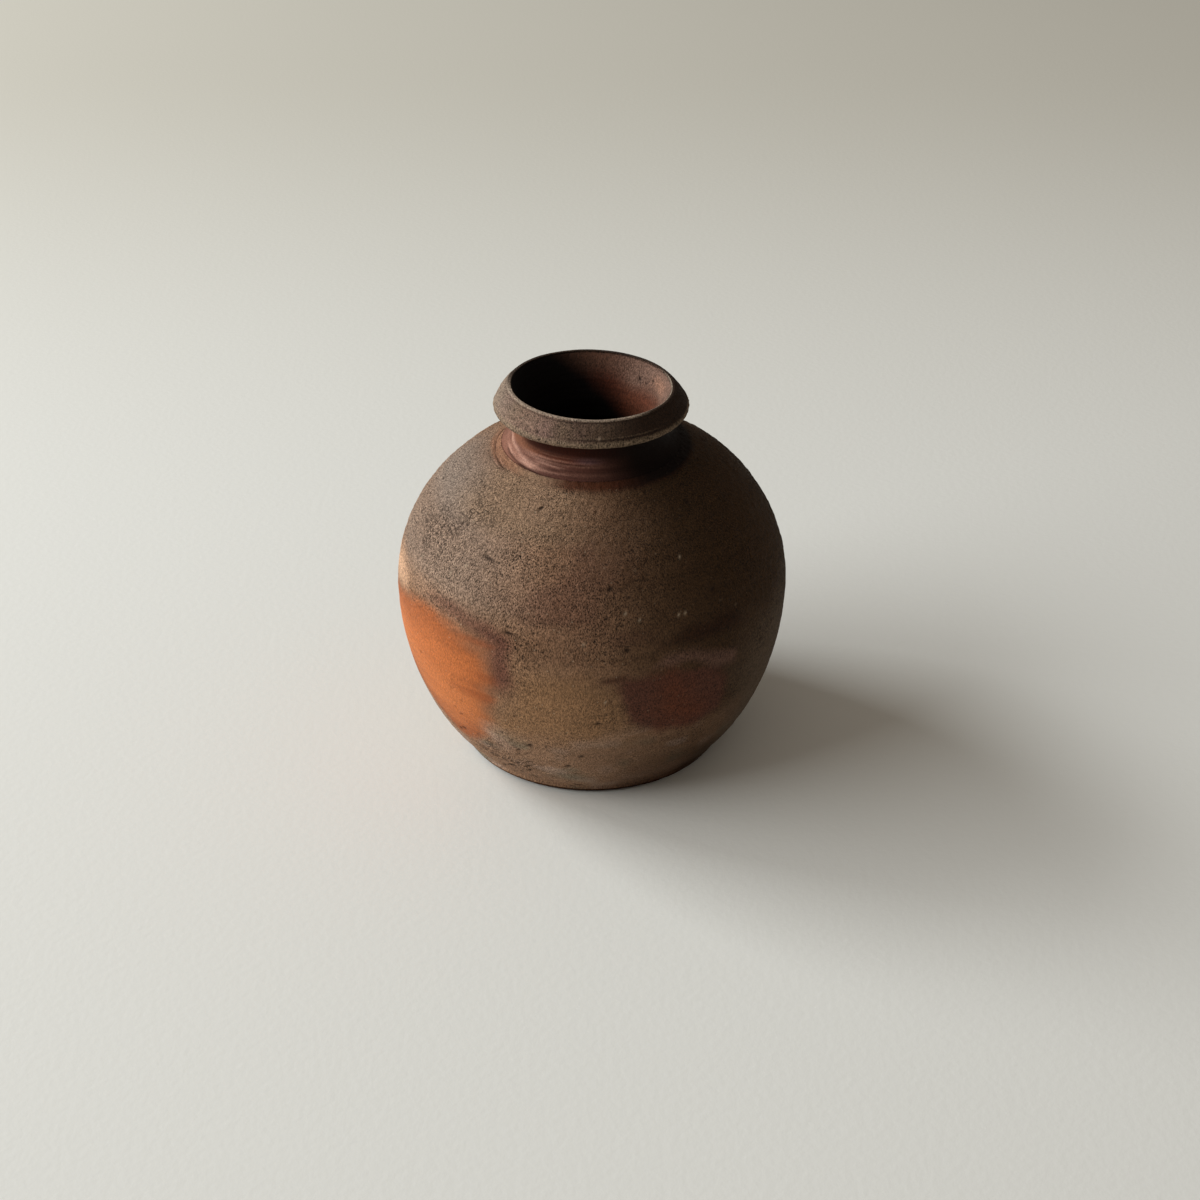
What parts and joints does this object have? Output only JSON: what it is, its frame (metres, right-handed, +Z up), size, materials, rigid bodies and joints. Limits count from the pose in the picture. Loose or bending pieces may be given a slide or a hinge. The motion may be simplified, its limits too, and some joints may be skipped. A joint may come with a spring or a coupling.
{
  "type": "globular flask",
  "caption": "Small round-bellied clay flask with a flat foot, a short drawn-in neck and a flaring, undercut collar round an open mouth.",
  "frame": {"origin": "centre of the foot's underside, where the flask stands", "axes": "+Z up along the flask's axis, out of the mouth; +Y away from the picture's viewer; +X to the viewer's right"},
  "size_m": [0.08, 0.08, 0.0792],
  "materials": {
    "foot_clay": "matte",
    "bowl_clay": "matte",
    "shoulder_clay": "matte",
    "neck_clay": "satin",
    "collar_clay": "matte"
  },
  "bodies": {
    "root": {"foot_disc": "foot_clay", "lower_bowl": "bowl_clay", "shoulder_dome": "shoulder_clay", "neck_ring": "neck_clay", "rim_collar": "collar_clay"}
  },
  "joints": []
}
